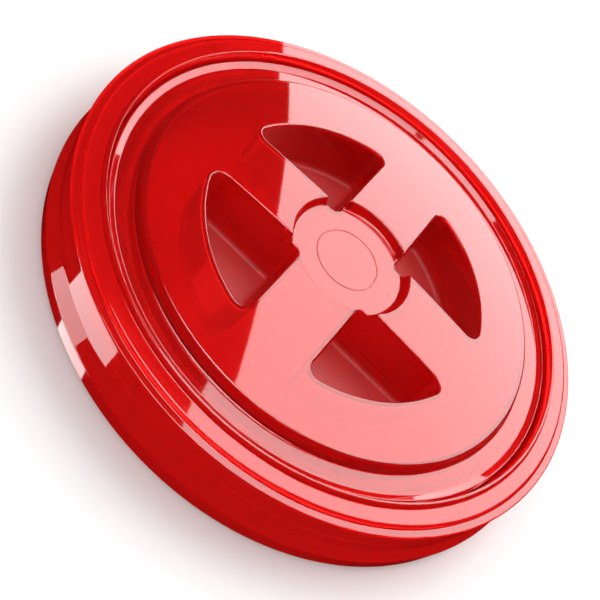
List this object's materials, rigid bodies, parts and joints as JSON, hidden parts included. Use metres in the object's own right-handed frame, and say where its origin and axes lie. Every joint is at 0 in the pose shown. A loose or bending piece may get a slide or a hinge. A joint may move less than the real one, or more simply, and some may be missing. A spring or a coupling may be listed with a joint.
{
  "type": "spin-in pail lid",
  "caption": "Round two-part pail lid: a snap-fit adapter ring and a threaded inner lid with deep finger pockets and seals.",
  "frame": {"origin": "centre of the flat bottom edge of the adapter ring's skirt", "axes": "+Z along the screw axis, up out of the pail; X and Y along the lid's arms, between the finger pockets"},
  "size_m": [0.3156, 0.3156, 0.0529],
  "materials": {
    "adapter_shell": "high gloss, slightly translucent red",
    "lid_shell": "high gloss, slightly translucent red",
    "seal": "soft satin black"
  },
  "bodies": {
    "adapter": {"adapter_ring": "adapter_shell", "rim_gasket": "seal"},
    "lid_seal": {"lid_seal_ring": "seal"},
    "lid": {"spin_lid": "lid_shell"}
  },
  "joints": [
    {"name": "lid_lift", "type": "slide", "parent": "adapter", "child": "lid_seal", "axis": [0, 0, 1], "range_m": [0, 0.0331]},
    {"name": "lid_turn", "type": "hinge", "parent": "lid_seal", "child": "lid", "pos_m": [0, 0, 0.04], "axis": [0, 0, 1], "range_deg": [0, 990]}
  ],
  "couplings": [
    {"joint": "lid_lift", "follows": "lid_turn", "m_per_rad": 0.0019099}
  ]
}
